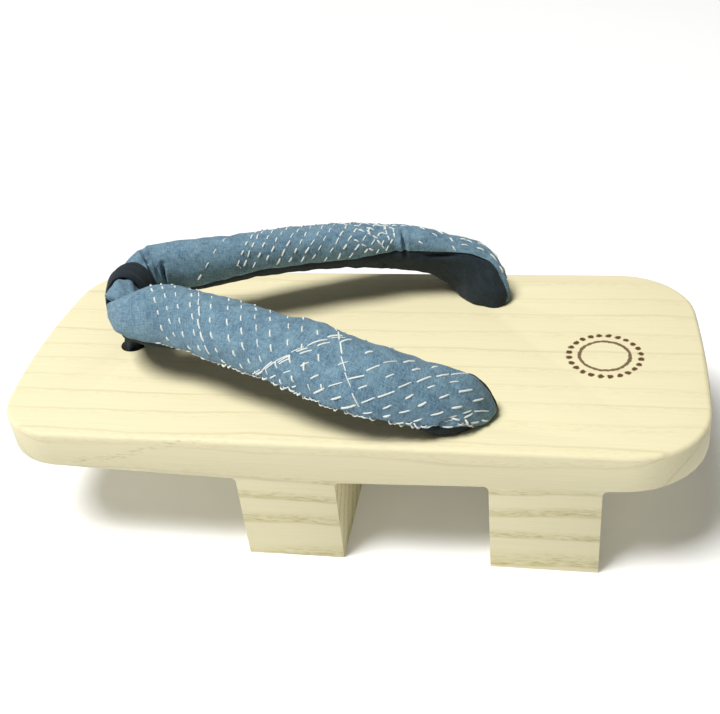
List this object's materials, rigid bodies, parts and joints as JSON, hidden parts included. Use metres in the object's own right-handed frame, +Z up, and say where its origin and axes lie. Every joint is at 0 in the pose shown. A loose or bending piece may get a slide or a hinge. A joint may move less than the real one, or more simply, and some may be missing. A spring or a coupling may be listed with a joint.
{
  "type": "geta sandal",
  "caption": "Wooden sandal carved in one piece with two cross teeth, and a padded V-shaped cloth strap held by a toe loop.",
  "frame": {"origin": "on the floor, under the middle of the block", "axes": "+Y from heel to toe along the longest side, +X to the wearer's right, +Z up"},
  "size_m": [0.1106, 0.25, 0.0877],
  "materials": {
    "pale_wood": "bare planed paulownia with a soft sheen",
    "blue_strap_cloth": "plain indigo cotton with white hand stitches",
    "navy_cloth": "dull dark navy cotton",
    "pale_cord": "twisted hemp cord"
  },
  "bodies": {
    "root": {"sole_block": "pale_wood", "strap": "blue_strap_cloth", "toe_loop": "navy_cloth", "front_knot": "pale_cord", "rear_cord_left": "pale_cord", "rear_cord_right": "pale_cord"}
  },
  "joints": []
}
